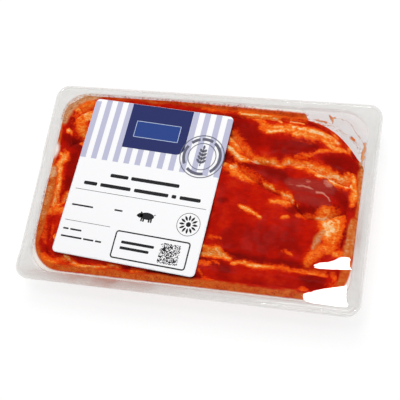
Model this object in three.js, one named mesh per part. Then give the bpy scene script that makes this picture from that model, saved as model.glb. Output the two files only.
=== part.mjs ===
// A pack of marinated pork belly: three slices in a clear thermoformed tray,
// closed with a clear top film that carries a paper label.
// Millimetres, +Z up, origin under the middle of the tray on the surface it stands on,
// +X along the long side, +Y towards the back of the pack as it is read.

import * as THREE from 'three';

// Driving dimensions -------------------------------------------------------

// Tray: outline of the flange, and the well that hangs from it
const TRAY_LENGTH = 230;
const TRAY_WIDTH = 143;
const TRAY_HEIGHT = 27;
const FLANGE_LONG_SIDE = 6;          // width of the flange along the long sides
const FLANGE_SHORT_SIDE = 8;         // and along the short sides
const FLANGE_CORNER = 9.5;
const SHEET = 0.8;                   // thickness of the tray wall
const WELL_CORNER = 17;
const WELL_DRAFT = 6;                // how far the wall leans in from flange to floor
const FOOT_RADIUS = 5;
const RIM_HEIGHT = 2.4;              // turned-down edge all round the flange
const RIM_ROUND = 0.4;
const GRIP_DROP = 1.3;               // step in the flange along the middle of each short side
const GRIP_WIDTH = 4;
const GRIP_RISER = 0.8;
const GRIP_LEFT = [-57, 18];         // where that step begins and ends, on the left
const GRIP_RIGHT = [-55, 40];        // and on the right
const GRIP_RAMP = 4;

// Top film and label
const FILM = 0.3;
const FILM_INSET = 1;                // how far the film is cut inside the flange
const LABEL_WIDTH = 100.4;
const LABEL_HEIGHT = 114;
const LABEL_CORNER = 3;
const LABEL_X = -37.5;
const LABEL_Y = 1.9;
const LABEL_TURN = -0.071;           // radians, it was stuck on a little clockwise
const PAPER = 0.2;

// Slices of belly: the lines between them run along X
const SLICE_GAP = 0.7;               // marinade between two slices, and under them
const MEAT_HALF_TOP = 105;           // half length at the top and at the floor of the well
const MEAT_HALF_FLOOR = 99.5;
const MEAT_TOP = 26.2;               // height of the meat under the film
const MEAT_LEAN = 17;                // how far each slice lies over the one behind it
const MEAT_SETBACK = 5;              // the outer edges lean in with the tray wall
const SLICE_ROUND = 7;               // rounding of a slice's long edges
const ROUND_SHARE = 0.4;             // and the most of a slice's width that it takes up
const SLICE_END_POWER = 9;           // bluntness of its ends

// The outer two edge lines: y at the middle, a wave (height and length), and what is cut
// off each corner (depth, how far out in x it starts, and how sharply it bends)
const BACK_Y = 59;
const BACK_WAVE = [1.2, 21];
const BACK_RIGHT_CUT = [29, 58, 2.6];
const BACK_LEFT_CUT = [13, 80, 1.6];
const FRONT_Y = -61.5;
const FRONT_WAVE = [0.8, 17];
const FRONT_RIGHT_CUT = [19, 84, 2];
const FRONT_LEFT_CUT = [17, 88, 2];

// The inner two: y at the left end, a wave, and the steps from there to the right (rise,
// and the x where it starts and ends)
const MIDDLE_Y = 32.5;
const MIDDLE_WAVE = [1.2, 8];
const MIDDLE_STEPS = [[14, -110, -20], [-18, 12, 36], [-10, 66, 104]];
const OVERLAP_Y = -14;
const OVERLAP_WAVE = [0.8, 7];
const OVERLAP_STEPS = [[41, -120, 8], [-22, 12, 62], [-11, 58, 76], [7, 84, 102]];

// The top of the meat: two soft swells (height, lengths in x and y, and where it starts),
// which lie this far below the highest level
const SWELLS = [[0.7, 23, 13, 0], [0.45, 9, -8, 1]];
const SWELLS_BELOW = 1.1;

// A fold that runs along the front slice in a slow wave, and grows from left to right
const FOLD_Y = -43.5;
const FOLD_DEPTH = 3.2;
const FOLD_HALF_WIDTH = 3;
const FOLD_WAVE = [2.5, 26, -1];     // height, length, and where it starts
const FOLD_GROWS = [-70, 10];        // in x

// Where the meat falls away: towards the front wall, and at the empty back right corner
const FRONT_FALL = 5;
const FRONT_FALL_OUT = [50, 64];      // this far in front of the middle
const CORNER_FALL = 4;
const CORNER_FALL_X = [70, 104];
const CORNER_FALL_Y = [22, 50];

const CONTACT = 0.3;                 // gap between pieces that touch

// Fineness
const CORNER_STEPS = 6;
const FOOT_STEPS = 3;
const STATIONS = 34;                 // sections along a slice
const END_FLAT = 0.994;              // the last sections stop this short of a point
const ROUND_STEPS = 4;
const TOP_STEPS = 10;
const SIDE_STEPS = 2;
const LABEL_CORNER_STEPS = 4;

// Finishes: colour, roughness, and how much the clear ones cover
const CLEAR_TRAY = [0xe8e7e4, 0.15, 0.3];
const CLEAR_FILM = [0xf2f2f0, 0.1, 0.25];
const LABEL_PAPER = [0xf8f8f8, 0.5];
const BACK_MEAT = [0xa01804, 0.4];
const MIDDLE_MEAT = [0x9a1c0a, 0.4];
const FRONT_MEAT = [0xaa1c04, 0.4];

const { sin, cos, abs, min, max, exp, PI } = Math;
const { lerp, smoothstep } = THREE.MathUtils;

const FLANGE_STRAIGHT = TRAY_WIDTH / 2 - FLANGE_CORNER;
const FILM_BOTTOM = TRAY_HEIGHT + CONTACT;
const LABEL_BOTTOM = FILM_BOTTOM + FILM + CONTACT;

// Closed bodies from rings of points ----------------------------------------

// Skins a list of rings, each with the same number of points, and closes both ends
// with a fan. Rings run anticlockwise seen from the end of the list.
function skin(rings) {
  const count = rings[0].length;
  const points = rings.flat();
  const faces = [];
  for (let r = 0; r + 1 < rings.length; r++) {
    for (let i = 0; i < count; i++) {
      const a = r * count + i;
      const b = r * count + (i + 1) % count;
      faces.push(a, b, b + count, a, b + count, a + count);
    }
  }
  const middle = ring => ring
    .reduce((sum, p) => sum.add(p), new THREE.Vector3())
    .divideScalar(count);
  const start = points.push(middle(rings[0])) - 1;
  const end = points.push(middle(rings.at(-1))) - 1;
  const last = (rings.length - 1) * count;
  for (let i = 0; i < count; i++) {
    const next = (i + 1) % count;
    faces.push(start, next, i, end, last + i, last + next);
  }
  const body = new THREE.BufferGeometry().setFromPoints(points);
  body.setIndex(faces);
  body.computeVertexNormals();
  return body;
}

// Points of a rounded rectangle of half sizes x and y at height z, anticlockwise from
// front left. Its short sides also get points where the ramps of a grip begin and end.
function roundedRing(x, y, radius, z) {
  const ring = [];
  const straight = y - radius;
  [[-1, -1], [1, -1], [1, 1], [-1, 1]].forEach(([sideX, sideY], corner) => {
    for (let k = 0; k <= CORNER_STEPS; k++) {
      const angle = PI + (corner + k / CORNER_STEPS) * PI / 2;
      ring.push(new THREE.Vector3(
        sideX * (x - radius) + radius * cos(angle),
        sideY * straight + radius * sin(angle),
        z,
      ));
    }
    if (sideX !== sideY) {
      for (const stop of gripStops(sideX)) {
        ring.push(new THREE.Vector3(sideX * x, stop / FLANGE_STRAIGHT * straight, z));
      }
    }
  });
  return ring;
}

function gripStops(side) {
  const [from, to] = side > 0 ? GRIP_RIGHT : GRIP_LEFT;
  const stops = [from, from + GRIP_RAMP, to - GRIP_RAMP, to];
  return side > 0 ? stops : stops.reverse();
}

// Tray ----------------------------------------------------------------------

const flangeRing = (inset, z) => roundedRing(
  TRAY_LENGTH / 2 - inset,
  TRAY_WIDTH / 2 - inset,
  FLANGE_CORNER - inset,
  z,
);

const wellRing = (inset, z) => roundedRing(
  TRAY_LENGTH / 2 - FLANGE_SHORT_SIDE - inset,
  TRAY_WIDTH / 2 - FLANGE_LONG_SIDE - inset,
  WELL_CORNER - inset / 2,
  z,
);

// The flange's outer strip steps down along the middle of both short sides.
function steppedRing(inset, z) {
  const ring = flangeRing(inset, z);
  for (const p of ring) {
    const [from, to] = p.x < 0 ? GRIP_LEFT : GRIP_RIGHT;
    const onShortSide = abs(p.x) > TRAY_LENGTH / 2 - FLANGE_CORNER;
    if (onShortSide && p.y > from && p.y < to) p.z -= GRIP_DROP;
  }
  return ring;
}

// Rings round the foot of the well, from the floor up to the leaning wall.
function footRings(inset, floor, radius) {
  const rings = [];
  for (let k = 0; k <= FOOT_STEPS; k++) {
    const angle = k / FOOT_STEPS * PI / 2;
    rings.push(wellRing(inset + radius * (1 - sin(angle)), floor + radius * (1 - cos(angle))));
  }
  return rings;
}

function trayBody() {
  const under = TRAY_HEIGHT - SHEET;
  const rim = TRAY_HEIGHT - RIM_HEIGHT;
  return skin([
    ...footRings(WELL_DRAFT - SHEET, 0, FOOT_RADIUS),
    wellRing(-SHEET, under),
    flangeRing(GRIP_WIDTH + GRIP_RISER, under),
    steppedRing(GRIP_WIDTH, under),
    steppedRing(SHEET + RIM_ROUND, under),
    steppedRing(SHEET, rim),
    steppedRing(0, rim),
    steppedRing(RIM_ROUND, TRAY_HEIGHT),
    steppedRing(GRIP_WIDTH, TRAY_HEIGHT),
    flangeRing(GRIP_WIDTH + GRIP_RISER, TRAY_HEIGHT),
    wellRing(0, TRAY_HEIGHT),
    ...footRings(WELL_DRAFT, SHEET, FOOT_RADIUS - SHEET).reverse(),
  ]);
}

// Flat sheets ---------------------------------------------------------------

function sheetBody(ringAt, bottom, thickness) {
  return skin([ringAt(bottom), ringAt(bottom + thickness)]);
}

const filmBody = () => sheetBody(z => flangeRing(FILM_INSET, z), FILM_BOTTOM, FILM);

function labelBody() {
  const outline = new THREE.Shape();
  const x = LABEL_WIDTH / 2;
  const y = LABEL_HEIGHT / 2;
  const r = LABEL_CORNER;
  outline.absarc(x - r, y - r, r, 0, PI / 2);
  outline.absarc(-x + r, y - r, r, PI / 2, PI);
  outline.absarc(-x + r, -y + r, r, PI, 3 * PI / 2);
  outline.absarc(x - r, -y + r, r, 3 * PI / 2, 2 * PI);
  return new THREE.ExtrudeGeometry(outline, {
    depth: PAPER,
    bevelEnabled: false,
    curveSegments: LABEL_CORNER_STEPS,
  });
}

// Slices --------------------------------------------------------------------

const wave = ([height, length, start = 0], x) => height * sin(x / length + start);

const cut = ([depth, from, bend], out) =>
  depth * (max(out - from, 0) / (MEAT_HALF_TOP - from)) ** bend;

const climbed = (steps, x) =>
  steps.reduce((sum, [rise, from, to]) => sum + rise * smoothstep(x, from, to), 0);

// Edges of the slices along the top of the meat, as y for an x. The outer two close in
// towards both ends, because the corners of the well stay empty.
const backEdge = x => BACK_Y + wave(BACK_WAVE, x) - cut(BACK_RIGHT_CUT, x) - cut(BACK_LEFT_CUT, -x);
const middleEdge = x => MIDDLE_Y + wave(MIDDLE_WAVE, x) + climbed(MIDDLE_STEPS, x);
const overlapEdge = x => OVERLAP_Y + wave(OVERLAP_WAVE, x) + climbed(OVERLAP_STEPS, x);
const frontEdge = x => FRONT_Y + wave(FRONT_WAVE, x) + cut(FRONT_RIGHT_CUT, x) + cut(FRONT_LEFT_CUT, -x);

function meatTop(x, y) {
  const swells = SWELLS.reduce(
    (sum, [height, lengthX, lengthY, start]) => sum + height * sin(x / lengthX + y / lengthY + start),
    -SWELLS_BELOW,
  );
  const [foldHeight, foldLength, foldStart] = FOLD_WAVE;
  const foldY = FOLD_Y + foldHeight * cos(x / foldLength + foldStart);
  const foldShape = exp(-(((y - foldY) / FOLD_HALF_WIDTH) ** 2)) * smoothstep(x, ...FOLD_GROWS);
  const frontFall = FRONT_FALL * smoothstep(-y, ...FRONT_FALL_OUT);
  const cornerFall = CORNER_FALL * smoothstep(x, ...CORNER_FALL_X) * smoothstep(y, ...CORNER_FALL_Y);
  return MEAT_TOP + swells - FOLD_DEPTH * foldShape - frontFall - cornerFall;
}

// The section of a slice in shares of its width and height: a rounded square, begun at
// the back of its top, with more points along the top, where the swells are.
function sliceSection(roundAcross, roundUp) {
  const corners = [[1, 1], [-1, 1], [-1, -1], [1, -1]];
  const pointAt = (corner, turn) => {
    const [sideA, sideU] = corners[corner % 4];
    const angle = (corner + turn) * PI / 2;
    return [
      sideA * (0.5 - roundAcross) + roundAcross * cos(angle),
      sideU * (0.5 - roundUp) + roundUp * sin(angle),
    ];
  };
  const section = [];
  corners.forEach((_, corner) => {
    for (let k = 0; k < ROUND_STEPS; k++) section.push(pointAt(corner, k / ROUND_STEPS));
    const [fromA, fromU] = pointAt(corner, 1);
    const [toA, toU] = pointAt(corner + 1, 0);
    const steps = corner === 0 ? TOP_STEPS : SIDE_STEPS;
    for (let k = 0; k < steps; k++) {
      section.push([lerp(fromA, toA, k / steps), lerp(fromU, toU, k / steps)]);
    }
  });
  return section;
}

// A slice lies between two edge lines. Its section is as tall as the well, and it closes
// to a blunt end at both short sides of the tray. leanFront and leanBack say how far each
// side moves in y from the top down to the floor.
function sliceBody(front, back, leanFront, leanBack) {
  const floor = SHEET + SLICE_GAP;
  const rings = [];
  for (let s = 0; s <= STATIONS; s++) {
    const along = sin((s / STATIONS - 0.5) * PI * END_FLAT);
    const closing = (1 - abs(along) ** SLICE_END_POWER) ** (1 / SLICE_END_POWER);
    const lineX = along * MEAT_HALF_TOP;
    const roundAcross = min(SLICE_ROUND / (back(lineX) - front(lineX)), ROUND_SHARE);
    const section = sliceSection(roundAcross, SLICE_ROUND / (MEAT_TOP - floor));
    rings.push(section.map(([a, u]) => {
      const across = 0.5 + closing * a;
      const up = 0.5 + closing * u;
      const x = along * lerp(MEAT_HALF_FLOOR, MEAT_HALF_TOP, up);
      const frontY = front(lineX) + SLICE_GAP / 2 + leanFront * (1 - up);
      const backY = back(lineX) - SLICE_GAP / 2 + leanBack * (1 - up);
      const y = lerp(frontY, backY, across);
      return new THREE.Vector3(x, y, lerp(floor, meatTop(x, y), up));
    }));
  }
  return skin(rings);
}

// The object ----------------------------------------------------------------

const pack = new THREE.Group();

function addPiece(name, body, [color, roughness, opacity = 1]) {
  const transparent = opacity < 1;
  const finish = new THREE.MeshStandardMaterial({ color, roughness, opacity, transparent });
  const piece = new THREE.Mesh(body, finish);
  piece.name = name;
  pack.add(piece);
  return piece;
}

addPiece('tray', trayBody(), CLEAR_TRAY);
addPiece('slice_back', sliceBody(middleEdge, backEdge, -MEAT_LEAN, -MEAT_SETBACK), BACK_MEAT);
addPiece('slice_middle', sliceBody(overlapEdge, middleEdge, -MEAT_LEAN, -MEAT_LEAN), MIDDLE_MEAT);
addPiece('slice_front', sliceBody(frontEdge, overlapEdge, MEAT_SETBACK, -MEAT_LEAN), FRONT_MEAT);
addPiece('top_film', filmBody(), CLEAR_FILM);

const label = addPiece('label', labelBody(), LABEL_PAPER);
label.position.set(LABEL_X, LABEL_Y, LABEL_BOTTOM);
label.rotation.z = LABEL_TURN;

export default pack;
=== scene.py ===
# %% [markdown]
# # A sealed pack of marinated pork belly
# Three slices of belly lie overlapped in a low clear tray. A clear film is sealed to the
# tray's flange, and a paper label is stuck on the film, turned a little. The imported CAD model
# is the fixed frame: it says where every piece lies and how large it is. This lesson dresses
# it piece by piece, from the tray outwards, and then lights it like the photograph.

# %% Load the frame
import math

import bpy
import numpy as np
from mathutils import Matrix, Vector


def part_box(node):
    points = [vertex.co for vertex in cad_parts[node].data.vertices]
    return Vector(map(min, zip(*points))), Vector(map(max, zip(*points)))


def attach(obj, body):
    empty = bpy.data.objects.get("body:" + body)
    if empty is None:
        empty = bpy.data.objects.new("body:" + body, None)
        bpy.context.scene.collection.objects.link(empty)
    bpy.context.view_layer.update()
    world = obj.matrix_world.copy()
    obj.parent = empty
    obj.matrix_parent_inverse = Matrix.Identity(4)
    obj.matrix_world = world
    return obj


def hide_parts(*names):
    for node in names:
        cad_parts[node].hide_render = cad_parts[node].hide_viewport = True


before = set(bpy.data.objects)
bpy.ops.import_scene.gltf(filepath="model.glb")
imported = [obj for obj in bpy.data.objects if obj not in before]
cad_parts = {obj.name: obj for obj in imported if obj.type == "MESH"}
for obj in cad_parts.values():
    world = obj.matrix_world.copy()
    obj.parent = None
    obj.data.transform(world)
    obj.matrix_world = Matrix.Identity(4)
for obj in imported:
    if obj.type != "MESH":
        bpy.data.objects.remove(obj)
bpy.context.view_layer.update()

MM = 0.001

# %% [markdown]
# ## Sizes
# The tray's size and the label's place come from the frame. The other sizes are those of the
# real pack in millimetres, the same values that its solids were made from: a well with
# leaning walls hangs from the flange, and four lines part the meat into its slices.

# %% Sizes of the tray and the label
tray_low, tray_high = (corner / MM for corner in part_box("tray"))
TRAY_HALF_X = tray_high.x
TRAY_HALF_Y = tray_high.y
FLANGE_TOP = tray_high.z
FLANGE_LONG_SIDE = 6
FLANGE_SHORT_SIDE = 8
FLANGE_CORNER = 9.5
SHEET = 0.8
WELL_CORNER = 17
WELL_DRAFT = 6
FOOT_RADIUS = 5
FOOT_RINGS = 8
RIM_HEIGHT = 2.4
GRIP_DROP = 1.3
GRIP_WIDTH = 4
GRIP_LEFT = (-57, 18)
GRIP_RIGHT = (-55, 40)
GRIP_RAMP = 4

label_low, label_high = (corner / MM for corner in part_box("label"))
LABEL_CENTRE = ((label_low + label_high) / 2).xy
LABEL_TURN = -0.071
LABEL_HALF = (50.2, 57.0)
LABEL_CORNER = 3

WELL_HALF_X = TRAY_HALF_X - FLANGE_SHORT_SIDE
WELL_HALF_Y = TRAY_HALF_Y - FLANGE_LONG_SIDE
print("tray", TRAY_HALF_X * 2, "by", TRAY_HALF_Y * 2, "label at", [round(v, 1) for v in LABEL_CENTRE])

# %% [markdown]
# ## A few helpers for shapes
# Almost every piece here is either a stack of rings, such as the tray, or a thin sheet, such
# as the film. Both could be modelled by hand, but a formula keeps the fine mesh true to the
# same sizes as the solids. Noise for lumps and smears comes from a small seeded lattice, so
# each run gives the same pack.


# %% Smooth steps and seeded noise
def smoothstep(value, low, high):
    share = np.clip((np.asarray(value, float) - low) / (high - low), 0, 1)
    return share * share * (3 - 2 * share)


def lattice(cells, seed):
    """One random number from -1 to 1 for each whole-numbered cell."""
    mixed = (cells * [374761393, 668265263, 2147483647]).sum(-1) + seed * 1274126177
    mixed = mixed.astype(np.uint32)
    mixed = (mixed ^ (mixed >> np.uint32(13))) * np.uint32(1103515245)
    mixed = (mixed ^ (mixed >> np.uint32(16))) * np.uint32(747796405)
    return (mixed ^ (mixed >> np.uint32(15))) / 2**31 - 1


def noise(points, size, seed):
    """Smooth noise from -1 to 1 with lumps of about that size. points is (n, 2) or (n, 3)."""
    points = np.asarray(points, float) / size
    if points.shape[1] == 2:
        points = np.column_stack([points, np.zeros(len(points))])
    cell = np.floor(points).astype(np.int64)
    share = points - cell
    share = share * share * (3 - 2 * share)
    total = 0
    for corner in np.ndindex(2, 2, 2):
        weight = np.where(corner, share, 1 - share).prod(1)
        total = total + weight * lattice(cell + corner, seed)
    return total


print("noise check", np.round(noise([[0.3, 0.2], [7.1, 2.4]], 2.0, 5), 3))


# %% Meshes from rings and from sheets
def new_piece(name, points, faces, finish, replaced=()):
    """A smooth mesh piece from points in mm, riding on the pack's one body."""
    mesh = bpy.data.meshes.new(name)
    mesh.from_pydata((np.asarray(points) * MM).tolist(), [], faces)
    mesh.polygons.foreach_set("use_smooth", [True] * len(mesh.polygons))
    mesh.update()
    piece = bpy.data.objects.new(name, mesh)
    bpy.context.scene.collection.objects.link(piece)
    mesh.materials.append(finish)
    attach(piece, "root")
    if replaced:
        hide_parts(*replaced)
    print(name, len(mesh.vertices), "points")
    return piece


def tell(piece, **shares):
    """Stores shares on a piece, one for each of its points."""
    for name, values in shares.items():
        stored = piece.data.attributes.new(name, "FLOAT", "POINT")
        stored.data.foreach_set("value", np.asarray(values, np.float32))


def stack(rings):
    """Points and faces of a closed body from a list of (count, 3) rings.

    Quads join the rings, and a fan closes each end to a middle point that is added.
    """
    points = np.vstack([*rings, rings[0].mean(0), rings[-1].mean(0)])
    start, end = len(points) - 2, len(points) - 1
    here = np.arange(start).reshape(len(rings), -1)
    after = np.roll(here, -1, axis=1)
    quads = np.stack([here[:-1], after[:-1], after[1:], here[1:]], -1).reshape(-1, 4).tolist()
    ends = np.column_stack([here[0], after[0], here[-1], after[-1]]).tolist()
    fans = [fan for a, b, c, d in ends for fan in ((start, b, a), (end, c, d))]
    return points, quads + fans


def joined(arcs, steps):
    """A closed loop: each arc, and then a straight line of so many steps to the next."""
    loop = []
    for arc, following, count in zip(arcs, arcs[1:] + arcs[:1], steps):
        shares = np.arange(1, count)[:, None] / count
        loop += [arc, arc[-1] + (following[0] - arc[-1]) * shares]
    return np.vstack(loop)


RING_STEPS = (14, 48, 32)  # steps along each corner, long side and short side


def rounded_ring(half_x, half_y, radius, corner_steps, long_steps, short_steps):
    """Points of a rounded rectangle, anticlockwise from its front left corner."""
    arcs = []
    for corner, (side_x, side_y) in enumerate([(-1, -1), (1, -1), (1, 1), (-1, 1)]):
        angles = math.pi * (1 + corner / 2 + np.arange(corner_steps + 1) / corner_steps / 2)
        centre = np.array([side_x * (half_x - radius), side_y * (half_y - radius)])
        arcs.append(centre + radius * np.column_stack([np.cos(angles), np.sin(angles)]))
    return joined(arcs, (long_steps, short_steps) * 2)


def rounded_grid(half_x, half_y, radius, step):
    """A grid of points that fills a rounded rectangle, and its quads."""
    count_x, count_y = (int(round(2 * half / step)) + 1 for half in (half_x, half_y))
    x, y = np.meshgrid(np.linspace(-half_x, half_x, count_x), np.linspace(-half_y, half_y, count_y))
    over_x = np.maximum(abs(x) - (half_x - radius), 0)
    over_y = np.maximum(abs(y) - (half_y - radius), 0)
    length = np.hypot(over_x, over_y)
    pull = np.where(length > 0, np.maximum(over_x, over_y) / np.maximum(length, 1e-9), 1)
    x = np.sign(x) * (abs(x) - over_x * (1 - pull))
    y = np.sign(y) * (abs(y) - over_y * (1 - pull))
    index = np.arange(count_x * count_y).reshape(count_y, count_x)
    quads = np.stack([index[:-1, :-1], index[:-1, 1:], index[1:, 1:], index[1:, :-1]], -1)
    return np.column_stack([x.ravel(), y.ravel()]), quads.reshape(-1, 4)


def turned(places, angle):
    """Places turned anticlockwise about the middle, by radians."""
    cosine, sine = math.cos(angle), math.sin(angle)
    return np.asarray(places, float) @ [(cosine, sine), (-sine, cosine)]


def sheet_solid(places, quads, low, high):
    """Points and faces of a thin closed sheet between two heights for each place."""
    count = len(places)
    points = np.vstack([np.column_stack([places, low]), np.column_stack([places, high])])
    edges = np.concatenate([quads[:, [k, (k + 1) % 4]] for k in range(4)])
    _, first, uses = np.unique(np.sort(edges, axis=1), axis=0, return_index=True, return_counts=True)
    border = edges[first[uses == 1]]
    sides = np.column_stack([border, border[:, ::-1] + count])
    faces = np.vstack([quads[:, ::-1], quads + count, sides])
    return points, faces.tolist()


# %% [markdown]
# ## Finishes written as sums
# A finish is a tree of nodes. Wiring each Math node by hand hides what the finish does, so a
# small class stands for a socket and lets sums be written as Python: `1 - mask` adds the node
# that works it out. Colours go through Mix nodes, and places through Vector Math.


# %% A socket that can be calculated with
class Field:
    """A socket of a finish. Plain numbers and other fields can be added to it and so on."""

    def __init__(self, tree, socket=None):
        self.tree = tree
        self.socket = socket

    def node(self, kind, settings=None, inputs=None, output=0):
        """Adds one node: its settings first, then the values or links of its sockets."""
        made = self.tree.nodes.new(kind)
        for name, value in (settings or {}).items():
            if name == "stops":
                set_stops(made.color_ramp, value)
            else:
                setattr(made, name, value)
        for name, value in (inputs or {}).items():
            if isinstance(value, Field):
                self.tree.links.new(value.socket, made.inputs[name])
            else:
                made.inputs[name].default_value = value
        return Field(self.tree, made.outputs[output])

    def sum(self, operation, *values, clamp=False):
        settings = {"operation": operation, "use_clamp": clamp}
        return self.node("ShaderNodeMath", settings, dict(enumerate(values)))

    def __add__(self, other): return self.sum("ADD", self, other)
    def __radd__(self, other): return self.sum("ADD", other, self)
    def __sub__(self, other): return self.sum("SUBTRACT", self, other)
    def __rsub__(self, other): return self.sum("SUBTRACT", other, self)
    def __mul__(self, other): return self.sum("MULTIPLY", self, other)
    def __rmul__(self, other): return self.sum("MULTIPLY", other, self)
    def __pow__(self, other): return self.sum("POWER", self, other)

    def swing(self, size):
        """Noise from 0 to 1 made to swing about 0, by that size from lowest to highest."""
        return (self - 0.5) * size

    def held(self):
        """Kept from 0 to 1."""
        return self.sum("ADD", self, 0.0, clamp=True)

    def rise(self, low, high):
        """A smooth step from 0 at low to 1 at high."""
        inputs = {"Value": self, "From Min": low, "From Max": high}
        return self.node("ShaderNodeMapRange", {"interpolation_type": "SMOOTHSTEP"}, inputs)

    def mix(self, first, second):
        """first where this field is 0 and second where it is 1. Both are colours."""
        inputs = {0: self, 6: first, 7: second}
        return self.node("ShaderNodeMix", {"data_type": "RGBA"}, inputs, 2)

    def stretched(self, x, y, z):
        inputs = {0: self, 1: (x, y, z)}
        return self.node("ShaderNodeVectorMath", {"operation": "MULTIPLY"}, inputs)

    def share(self, name):
        """A share that was stored on the piece, from 0 to 1 at each of its points."""
        return self.node("ShaderNodeAttribute", {"attribute_name": name}, output="Fac")

    def ramp(self, *stops):
        """A colour for each value from 0 to 1, blended between stops of (value, colour)."""
        return self.node("ShaderNodeValToRGB", {"stops": stops}, {0: self})

    def grain(self, size_mm, detail=2.0, roughness=0.5, distortion=0.0):
        """Noise from 0 to 1 with lumps of about that size, at this place."""
        inputs = {
            "Vector": self, "Scale": 1 / (size_mm * MM), "Detail": detail,
            "Roughness": roughness, "Distortion": distortion,
        }
        return self.node("ShaderNodeTexNoise", {}, inputs, "Fac")


def set_stops(ramp, stops):
    """Gives a colour ramp its stops, a list of (place, colour)."""
    while len(ramp.elements) < len(stops):
        ramp.elements.new(1.0)
    for element, (place, colour) in zip(ramp.elements, stops):
        element.position = place
        element.color = colour


def paint(red, green, blue):
    """A colour as a paint chart gives it, from 0 to 255, as the light it reflects."""
    def light(value):
        value = value / 255
        return value / 12.92 if value <= 0.04045 else ((value + 0.055) / 1.055) ** 2.4
    return (light(red), light(green), light(blue), 1.0)


WHITE = (1, 1, 1, 1)
MIRRORED = 0.035         # share of light that plastic mirrors when seen straight on
MIRROR_POWER = 5         # and how late that share climbs to all of it


def start_finish(name):
    """A new material: it gives back the material, a field to build from, and the place."""
    finish = bpy.data.materials.new(name)
    finish.use_nodes = True
    finish.node_tree.nodes.clear()
    field = Field(finish.node_tree)
    place = field.node("ShaderNodeTexCoord", output="Object")
    return finish, field, place


def surface(field, colour, roughness, specular=0.5, others=None):
    """Blender's all-round shader. Others are the values or links of more of its sockets."""
    looks = {"Base Color": colour, "Roughness": roughness, "Specular IOR Level": specular}
    return field.node("ShaderNodeBsdfPrincipled", {}, {**looks, **(others or {})})


def bump(field, strength, distance, height):
    relief = {"Strength": strength, "Distance": distance, "Height": height}
    return {"Normal": field.node("ShaderNodeBump", {}, relief)}


def close_finish(field, shader):
    out = field.tree.nodes.new("ShaderNodeOutputMaterial")
    field.tree.links.new(shader.socket, out.inputs["Surface"])


def see_through(field, shader, cover):
    """A sheet that light passes straight through, apart from where the shader covers it."""
    clear = field.node("ShaderNodeBsdfTransparent", {}, {"Color": WHITE})
    return field.node("ShaderNodeMixShader", {}, {0: cover, 1: clear, 2: shader})


def glossy_skin(field, shader, gloss, share=1.0):
    """Adds the mirror gloss of a smooth sheet, stronger at a flat angle."""
    mirror = field.node("ShaderNodeBsdfGlossy", {}, {"Color": WHITE, "Roughness": gloss})
    slant = field.node("ShaderNodeLayerWeight", {}, {"Blend": 0.5}, "Facing")
    edge = (MIRRORED + (1 - MIRRORED) * slant ** MIRROR_POWER) * share
    return field.node("ShaderNodeMixShader", {}, {0: edge, 1: shader, 2: mirror})


# %% [markdown]
# ## The tray
# The real tray is drawn from one warm sheet of clear plastic over a mould: its floor, its
# leaning wall, the flange and the turned-down rim are one skin of even thickness. It could be
# carved from a box with bevels, but a stack of rounded rings follows the mould directly. The
# flange steps down along the middle of both short sides, where fingers grip the pack.


# %% Rings of the tray
def flange_ring(inset, height, stepped=True):
    radius = FLANGE_CORNER - inset
    ring = rounded_ring(TRAY_HALF_X - inset, TRAY_HALF_Y - inset, radius, *RING_STEPS)
    return np.column_stack([ring, height - grip_step(ring) * stepped])


def grip_step(ring):
    """How far the flange's outer strip lies lower, at each point of a ring."""
    x, y = ring.T
    drop = 0
    for side, (low, high) in ((-1, GRIP_LEFT), (1, GRIP_RIGHT)):
        along = smoothstep(y, low, low + GRIP_RAMP) * (1 - smoothstep(y, high - GRIP_RAMP, high))
        drop = drop + along * (x * side > TRAY_HALF_X - FLANGE_CORNER)
    return GRIP_DROP * drop


def well_ring(inset, height, fine=1):
    radius = WELL_CORNER - inset / 2
    steps = np.array(RING_STEPS) * fine
    ring = rounded_ring(WELL_HALF_X - inset, WELL_HALF_Y - inset, radius, *steps)
    return np.column_stack([ring, np.full(len(ring), float(height))])


def foot_rings(inset, floor, radius, fine=1):
    angles = np.linspace(0, math.pi / 2, FOOT_RINGS)
    sines, rises = np.sin(angles), 1 - np.cos(angles)
    return [well_ring(inset + radius * (1 - s), floor + radius * r, fine) for s, r in zip(sines, rises)]


SEAL_LINE = 2.6          # the seal presses a fine groove into the flange, this far inside its edge
SEAL_DEPTH = 0.18
SEAL_HALF = 0.35
WELL_LIP = 0.9           # rounding between flange and wall
FLOOR_INSET = WELL_DRAFT + 12
STEP_SLANT = 0.8         # the side of a grip's step leans by this
RIM_BEND = 0.5           # rounding between flange and rim

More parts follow.
